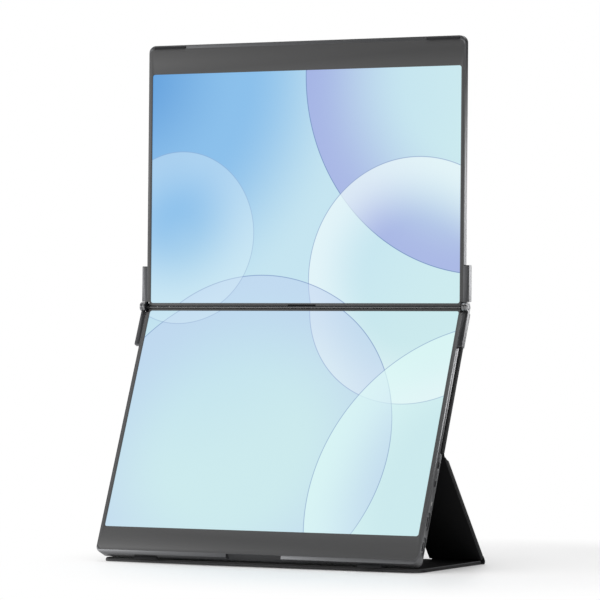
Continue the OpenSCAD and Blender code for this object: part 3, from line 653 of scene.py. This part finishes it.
wallpaper = {  # all measured in screen heights: u from the left, v up from the hinge
    "blueCorner": (-0.12, 1.0),
    "reach": 1.9,
    "sky": (  # the two ends come first
        (0.0, (0.10, 0.34, 0.72)),
        (1.0, (0.62, 0.85, 0.88)),
        (0.3, (0.24, 0.52, 0.84)),
        (0.6, (0.56, 0.79, 0.89)),
    ),
    "softEdge": 0.004,
    "lineFrom": 0.0008,
    "lineTo": 0.0028,
    "lineColour": (0.12, 0.22, 0.50),
    "discs": (
        {"at": (1.62, 0.98), "radius": 0.86, "depth": 0.5,
         "colour": (0.36, 0.42, 0.78), "strength": 0.85, "line": 0.85},
        {"at": (1.30, 0.10), "radius": 0.52, "depth": 0.3,
         "colour": (0.86, 0.97, 0.99), "strength": 0.7, "line": 0.6},
        {"at": (0.55, -0.62), "radius": 0.74, "depth": 0.45,
         "colour": (0.50, 0.62, 0.88), "strength": 0.5, "line": 0.7},
        {"at": (1.75, -0.85), "radius": 0.80, "depth": 0.4,
         "colour": (0.75, 0.98, 0.96), "strength": 0.7, "line": 0.6},
        {"at": (0.15, 0.30), "radius": 0.36, "depth": 0.3,
         "colour": (0.70, 0.88, 0.97), "strength": 0.35, "line": 0.35},
    ),
}


def buildWallpaper(look):
    group, start, end = newGroup("wallpaper", {"U": "Float", "V": "Float"}, {"Colour": "Color"})

    def awayFrom(u, v):
        du = mathNode(group, "SUBTRACT", start["U"], u)
        dv = mathNode(group, "SUBTRACT", start["V"], v)
        squares = mathNode(group, "ADD", mathNode(group, "POWER", du, 2), mathNode(group, "POWER", dv, 2))
        return mathNode(group, "SQRT", squares)

    def rest(mask):
        return mathNode(group, "SUBTRACT", 1, mask)

    ramp = group.nodes.new("ShaderNodeValToRGB")
    ramp.color_ramp.interpolation = "EASE"
    for i, (at, colour) in enumerate(look["sky"]):
        stop = ramp.color_ramp.elements[i] if i < 2 else ramp.color_ramp.elements.new(at)
        stop.position = at
        stop.color = (*colour, 1)
    distance = mathNode(group, "DIVIDE", awayFrom(*look["blueCorner"]), look["reach"])
    group.links.new(distance, ramp.inputs[0])
    colour = ramp.outputs[0]
    for disc in look["discs"]:
        edge = mathNode(group, "SUBTRACT", awayFrom(*disc["at"]), disc["radius"])
        inside = rest(softStep(group, edge, -look["softEdge"], look["softEdge"]))
        fade = softStep(group, edge, -disc["depth"], 0)
        veil = mathNode(group, "MULTIPLY", mathNode(group, "MULTIPLY", inside, fade), disc["strength"])
        colour = mixColours(group, veil, colour, disc["colour"])
        line = rest(softStep(group, mathNode(group, "ABSOLUTE", edge), look["lineFrom"], look["lineTo"]))
        line = mathNode(group, "MULTIPLY", line, disc["line"])
        colour = mixColours(group, line, colour, look["lineColour"])
    group.links.new(colour, end.inputs["Colour"])
    return group


wallpaperArt = buildWallpaper(wallpaper)


def screenMaterial(name, up, look):
    material, tree, shader = newMaterial(name)
    uv = tree.nodes.new("ShaderNodeUVMap")
    split = tree.nodes.new("ShaderNodeSeparateXYZ")
    tree.links.new(uv.outputs[0], split.inputs[0])
    art = useGroup(tree, wallpaperArt, {
        "U": mathNode(tree, "MULTIPLY", split.outputs["X"], look["width"] / look["height"]),
        "V": mathNode(tree, "MULTIPLY", split.outputs["Y"], up),
    })
    fill(tree, shader, {
        "Base Color": look["unlit"],
        "Emission Color": art["Colour"],
        "Emission Strength": look["glow"],
        "Roughness": look["roughness"],
        "Specular IOR Level": look["gloss"],
    })
    return material


def addScreen(name, place, node, body, up, look):  # up is 1 above the hinge and -1 below it
    halfWidth = look["width"] / 2 + look["margin"]
    near = look["hingeBorder"] - look["margin"]
    far = look["hingeBorder"] + look["height"] + look["margin"]
    corners = [(-halfWidth, near), (halfWidth, near), (halfWidth, far), (-halfWidth, far)]
    points = [place(x, depth, z) for depth in (look["front"], look["back"]) for x, z in corners]
    obj = addPiece(name, points, boxFaces, screenMaterial(name, up, look))
    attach(obj, body)
    layer = obj.data.uv_layers.new(name="UVMap")
    for loop in obj.data.loops:
        x, z = corners[loop.vertex_index % 4]
        u = (x + look["width"] / 2) / look["width"]
        v = (z - look["hingeBorder"]) / look["height"]
        layer.data[loop.index].uv = (u, v)
    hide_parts(node)


addScreen("upperScreen", onUpper, "upper_lcd", "upper_display", 1, screen)
addScreen("lowerScreen", onLower, "lower_lcd", "lower_display", -1, screen)
print("screens lit")


studio = {
    "floorColour": (0.93, 0.93, 0.93),
    "floorSpeck": (0.85, 0.85, 0.85),
    "speckShare": 0.06,
    "speckScale": 60,
    "speckDetail": 3,
    "floorRoughness": 0.5,
    "floorSize": 3.0,
    "shadowMiddle": (0.12, 0.05, 0),  # the floor turns plain white away from here
    "fadeFrom": 0.17,
    "fadeTo": 0.36,
    "worldLevel": 0.66,
}


def addSheet(name, width, height, material):
    x, y = width / 2, height / 2
    mesh = bpy.data.meshes.new(name)
    mesh.from_pydata([(-x, -y, 0), (x, -y, 0), (x, y, 0), (-x, y, 0)], [], [(0, 1, 2, 3)])
    return addMesh(name, mesh, material)


def addFloor(look):
    material, tree, shader = newMaterial("paleFloor")
    place = tree.nodes.new("ShaderNodeTexCoord").outputs["Object"]
    length = tree.nodes.new("ShaderNodeVectorMath")
    length.operation = "DISTANCE"
    length.inputs[1].default_value = look["shadowMiddle"]
    tree.links.new(place, length.inputs[0])
    speck = noiseNode(tree, place, look["speckScale"], look["speckDetail"])
    speck = mathNode(tree, "MULTIPLY", speck, look["speckShare"])
    fill(tree, shader, {
        "Base Color": mixColours(tree, speck, look["floorColour"], look["floorSpeck"]),
        "Roughness": look["floorRoughness"],
    })
    white = tree.nodes.new("ShaderNodeEmission")
    blend = tree.nodes.new("ShaderNodeMixShader")
    fade = softStep(tree, length.outputs["Value"], look["fadeFrom"], look["fadeTo"])
    for socket, output in zip(blend.inputs, (fade, shader.outputs[0], white.outputs[0])):
        tree.links.new(output, socket)
    tree.links.new(blend.outputs[0], tree.nodes["Material Output"].inputs["Surface"])
    floor = addSheet("floor", look["floorSize"], look["floorSize"], material)


def setWorld(look):
    world = bpy.data.worlds.new("studio")
    scene.world = world
    world.use_nodes = True
    tree = world.node_tree
    path = tree.nodes.new("ShaderNodeLightPath")
    seen = mathNode(tree, "MAXIMUM", path.outputs["Is Camera Ray"], path.outputs["Is Glossy Ray"])
    seen = mathNode(tree, "MAXIMUM", seen, path.outputs["Is Transmission Ray"])
    level = mathNode(tree, "MULTIPLY_ADD", seen, 1 - look["worldLevel"], look["worldLevel"])
    fill(tree, tree.nodes["Background"], {"Color": (1, 1, 1), "Strength": level})


lamps = {
    "keyLeft": {"at": (-1.38, -1.04, 0.3), "aim": (-0.05, 0, 0.2), "size": (0.5, 0.5), "watts": 5.0},
    "rimRight": {"at": (0.46, 0.56, 0.235), "aim": (0.146, 0, 0.235), "size": (0.3, 0.22), "watts": 1.3},
    "topSoft": {"at": (0.1, -0.1, 1.5), "aim": (0, 0, 0), "size": (0.8, 0.8), "watts": 10},
}

flags = {  # black studio cards that keep white out of the reflections; the camera doesn't see them
    "flagRight": {"at": (0.66, 0.8, 0.2), "aim": (0.146, 0, 0.21), "size": (1.3, 1.6)},
    "flagUpper": {"at": (-0.34, -0.87, 1.08), "aim": (0.05, 0, 0.2), "size": (0.92, 0.8)},
    "flagLow": {"at": (0.33, 0.34, 0.065), "aim": (0.146, 0, 0.065), "size": (0.4, 0.12)},
    "flagFront": {"at": (0.25, -1.7, 0.2), "aim": (0.1, 0, 0.21), "size": (1.1, 1.6)},
}


def aimAt(obj, look):
    obj.location = look["at"]
    obj.rotation_euler = (Vector(look["aim"]) - Vector(look["at"])).to_track_quat("-Z", "Y").to_euler()


def addFlag(name, look):
    card = addSheet(name, *look["size"], materials["flagCloth"])
    card.visible_camera = False
    aimAt(card, look)


def addLamp(name, look):
    data = bpy.data.lights.new(name, "AREA")
    data.shape = "RECTANGLE"
    data.size, data.size_y = look["size"]
    data.energy = look["watts"]
    lamp = bpy.data.objects.new(name, data)
    scene.collection.objects.link(lamp)
    aimAt(lamp, look)


addFloor(studio)
setWorld(studio)
for name, look in flags.items():
    addFlag(name, look)
for name, look in lamps.items():
    addLamp(name, look)
scene.view_settings.view_transform = "Standard"
print("studio ready")
